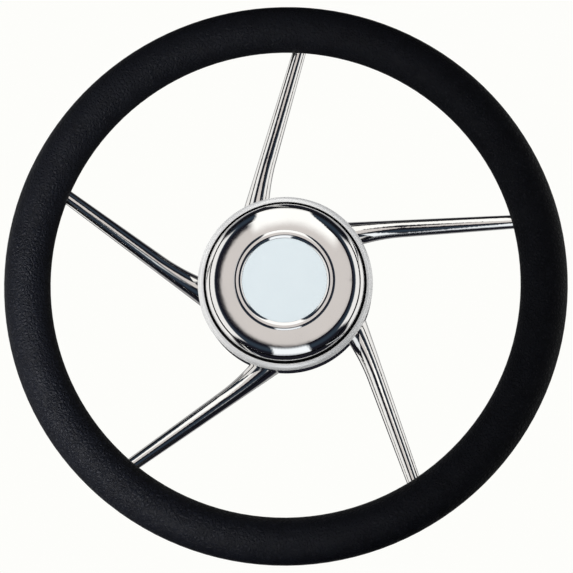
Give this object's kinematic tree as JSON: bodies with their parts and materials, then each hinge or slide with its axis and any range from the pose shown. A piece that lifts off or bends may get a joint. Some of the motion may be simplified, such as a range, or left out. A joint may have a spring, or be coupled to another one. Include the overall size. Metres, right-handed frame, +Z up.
{
  "type": "boat steering wheel",
  "caption": "Dished boat steering wheel: black moulded foam grip, five tapered stainless spokes set off centre, a polished round hub with a pull-off cap, and a boss bored for a tapered shaft.",
  "frame": {"origin": "centre of the boss's rear face, where the large end of the shaft's taper opens", "axes": "+Y runs back along the helm shaft, away from the driver; -Y is the front of the wheel; +Z is up, with the top spoke close to it"},
  "size_m": [0.35, 0.0804, 0.35],
  "materials": {
    "grip_foam": "fine leather grain, satin",
    "ring_steel": "plain rolled bar",
    "spoke_stainless": "mirror-polished stainless",
    "hub_stainless": "mirror-polished stainless, turned inside",
    "boss_alloy": "fine-turned",
    "screw_steel": "plain stainless",
    "cap_stainless": "mirror-polished dome",
    "carrier_plastic": "black moulded",
    "seal_rubber": "matt",
    "bezel_bright": "polished",
    "badge_satin": "pale satin, bare"
  },
  "bodies": {
    "wheel": {"rim_core": "ring_steel", "rim_grip": "grip_foam", "spoke_1": "spoke_stainless", "spoke_2": "spoke_stainless", "spoke_3": "spoke_stainless", "spoke_4": "spoke_stainless", "spoke_5": "spoke_stainless", "hub_body": "hub_stainless", "hub_boss": "boss_alloy", "hub_screw_1": "screw_steel", "hub_screw_2": "screw_steel", "hub_screw_3": "screw_steel", "hub_screw_4": "screw_steel", "hub_screw_5": "screw_steel", "hub_screw_6": "screw_steel"},
    "cap": {"cap_cover": "cap_stainless", "cap_carrier": "carrier_plastic", "cap_seal": "seal_rubber", "badge_bezel": "bezel_bright", "badge_disc": "badge_satin"}
  },
  "joints": [
    {"name": "cap_pull", "type": "slide", "parent": "wheel", "child": "cap", "axis": [0, -1, 0], "range_m": [0, 0.05]}
  ]
}
